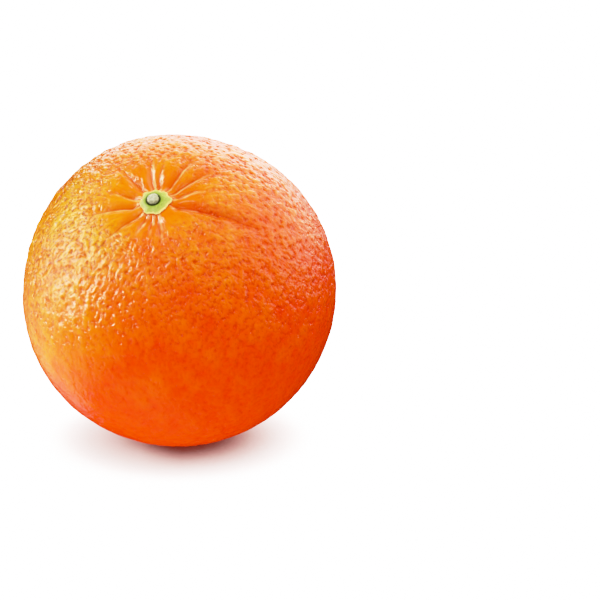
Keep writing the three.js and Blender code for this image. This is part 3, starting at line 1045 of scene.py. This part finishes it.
def floor_material(stage):
    """White that glows, with a reddish shade where the fruit hides the sky. No lamp lights it."""
    material, tree = new_material("pale_floor", stage.floor_colour)
    ends = {"Distance": SHADE_REACH}
    open_sky = node(tree, "AmbientOcclusion", ends, samples=SHADE_SAMPLES).outputs["AO"]
    # The shade is weaker on the left, close to the fruit.
    x = node(tree, "SeparateXYZ", {0: object_place(tree)}).outputs[0]
    left = spread(tree, x, 0, LEFT_SHADE_EDGE, 0, LEFT_SHADE_LOSS)
    left = times(tree, left, falling(tree, open_sky, *LEFT_SHADE_ENDS))
    light = spread(tree, plus(tree, open_sky, left), *SHADE_ENDS)
    glow = maths(tree, "POWER", light, SHADE_FALL)
    tint = blend(tree, glow, stage.shadow_colour, stage.floor_colour)
    bright = times(tree, light, HALF_SHADE_BRIGHTNESS)
    bright = raised(tree, bright, glow, by=WHITE_LEVEL - HALF_SHADE_BRIGHTNESS)
    lit = node(tree, "VectorMath", {0: tint, "Scale": bright}, operation="SCALE").outputs[0]
    # A painted contact shadow, darker and redder right under the fruit.
    colour = blend(tree, maths(tree, "SUBTRACT", 1, light), lit, stage.contact_shadow_colour, "ADD")
    shader = node(tree, "Emission", {"Color": colour})
    node(tree, "OutputMaterial", {"Surface": shader.outputs[0]})
    return material


def add_floor(stage):
    """A white floor under the fruit's soft shade. It neither lights nor darkens the fruit."""
    half = FLOOR_HALF_WIDTH
    corners = [(x * half, y * half, 0) for x, y in ((-1, -1), (1, -1), (1, 1), (-1, 1))]
    mesh = bpy.data.meshes.new("floor")
    mesh.from_pydata(corners, [], [(0, 1, 2, 3)])
    mesh.materials.append(floor_material(stage))
    floor = new_object("floor", mesh)
    floor.visible_diffuse = False
    floor.visible_glossy = False
    floor.visible_shadow = False


def add_sky(stage):
    world = bpy.data.worlds.new("studio")
    bpy.context.scene.world = world
    world.use_nodes = True
    tree = world.node_tree
    tree.nodes.clear()
    # Past the floor's edge the sky is seen as white as the floor.
    seen = node(tree, "LightPath").outputs["Is Camera Ray"]
    strength = spread(tree, seen, 0, 1, stage.sky, WHITE_LEVEL)
    sky = node(tree, "Background", {"Color": (1, 1, 1, 1), "Strength": strength})
    node(tree, "OutputWorld", {"Surface": sky.outputs[0]})
    world.cycles_visibility.glossy = False


def add_camera(stage):
    data = bpy.data.cameras.new("camera")
    data.lens = stage.lens
    data.sensor_width = 36
    camera = new_object("camera", data)
    bpy.context.scene.camera = camera
    back = Vector((0, -math.cos(stage.elevation), math.sin(stage.elevation)))
    to_right = Matrix.Rotation(-stage.aim_right, 4, "Y")
    downwards = Matrix.Rotation(-stage.aim_down, 4, "X")
    camera.matrix_world = aimed(MIDDLE + back * stage.distance, MIDDLE) @ to_right @ downwards


def add_tone_curve():
    """Rolls off what is brighter than mid tones, so that only what is far brighter turns white."""
    view = bpy.context.scene.view_settings
    view.view_transform = "Standard"
    view.use_curve_mapping = True
    view.curve_mapping.white_level = (WHITE_LEVEL,) * 3
    curve = view.curve_mapping.curves[3]
    curve.points[0].location = (BLACK_LEVEL / WHITE_LEVEL, 0)
    for bright, shown in TONES:
        curve.points.new(bright / WHITE_LEVEL, shown)
    view.curve_mapping.update()


def build_stage(stage):
    add_floor(stage)
    add_sky(stage)
    add_key("top_key", stage.top_key, way=(0.46, -0.1, 0.88))
    add_key("side_key", stage.side_key, way=(-0.55, -0.6, 0.58))
    add_key("floor_key", stage.floor_key, way=(-0.5, 0.2, -0.84), width=80 * DEG)
    add_softbox("side_softbox", stage.side_power, way=(-0.95, -0.03, 0.31), size=(0.28, 0.5), distance=0.5)
    add_softbox("back_softbox", stage.back_power, way=(0.714, 0.38, 0.588), size=(1.05, 0.75))
    wall = {"way": (0, 1, 0), "size": (0.7, 0.85), "distance": 0.8, "target": WALL_MIDDLE}
    add_softbox("back_wall", stage.wall_power, **wall)
    small = (0.17, 0.17)
    add_softbox("left_crease_light", stage.crease_power, way=(-0.74, 0.2, 0.643), size=small)
    add_softbox("back_crease_light", stage.crease_power, way=(-0.35, 0.61, 0.707), size=small)
    add_softbox("front_softbox", stage.front_power, way=(-0.55, -0.61, 0.574), size=small)
    spot_power = FRONT_SPOT_SHARE * stage.front_power
    add_softbox("front_spot", spot_power, way=(0.07, -0.84, 0.53), size=(0.15, 0.15))
    add_softbox("low_softbox", stage.low_power, way=(-0.765, 0.441, -0.469), size=(0.6, 0.45))
    add_camera(stage)
    add_tone_curve()


# -------- add-on


class ORANGE_OT_fruit(bpy.types.Operator):
    """Builds the fruit's furrowed and pitted skin"""

    bl_idname = "orange.fruit"
    bl_label = "Fruit"

    def execute(self, context):
        build_fruit(context.scene.orange_skin)
        return {"FINISHED"}


class ORANGE_OT_calyx(bpy.types.Operator):
    """Builds the dried green calyx in the dimple"""

    bl_idname = "orange.calyx"
    bl_label = "Calyx"

    def execute(self, context):
        build_calyx(context.scene.orange_calyx)
        return {"FINISHED"}


class ORANGE_OT_stem_stub(bpy.types.Operator):
    """Builds the stub of the stem in the calyx"""

    bl_idname = "orange.stem_stub"
    bl_label = "Stub of the stem"

    def execute(self, context):
        build_stub(context.scene.orange_stub)
        return {"FINISHED"}


class ORANGE_OT_stage(bpy.types.Operator):
    """Sets the floor, the lights and the camera"""

    bl_idname = "orange.stage"
    bl_label = "Stage"

    def execute(self, context):
        build_stage(context.scene.orange_stage)
        return {"FINISHED"}


class ORANGE_PT_panel(bpy.types.Panel):
    """Lists the orange's pieces and their settings"""

    bl_label = "Orange"
    bl_idname = "ORANGE_PT_panel"
    bl_space_type = "VIEW_3D"
    bl_region_type = "UI"
    bl_category = "Orange"

    def draw(self, context):
        for operator, settings, _ in PARTS:
            box = self.layout.box()
            box.operator(operator.bl_idname)
            group = getattr(context.scene, settings)
            for name in group.bl_rna.properties.keys():
                if name not in ("rna_type", "name"):
                    box.prop(group, name)


PARTS = (  # operator, the name of its settings in the scene, and their class
    (ORANGE_OT_fruit, "orange_skin", OrangeSkin),
    (ORANGE_OT_calyx, "orange_calyx", OrangeCalyx),
    (ORANGE_OT_stem_stub, "orange_stub", OrangeStub),
    (ORANGE_OT_stage, "orange_stage", OrangeStage),
)
OPERATORS, SETTINGS, GROUPS = zip(*PARTS)
CLASSES = (*GROUPS, *OPERATORS, ORANGE_PT_panel)


def register():
    for made in CLASSES:
        bpy.utils.register_class(made)
    for name, group in zip(SETTINGS, GROUPS):
        setattr(bpy.types.Scene, name, PointerProperty(type=group))


def unregister():
    for name in SETTINGS:
        delattr(bpy.types.Scene, name)
    for made in reversed(CLASSES):
        bpy.utils.unregister_class(made)


def main():
    register()
    bpy.ops.orange.fruit()
    bpy.ops.orange.calyx()
    bpy.ops.orange.stem_stub()
    bpy.ops.orange.stage()


if __name__ == "__main__":
    main()
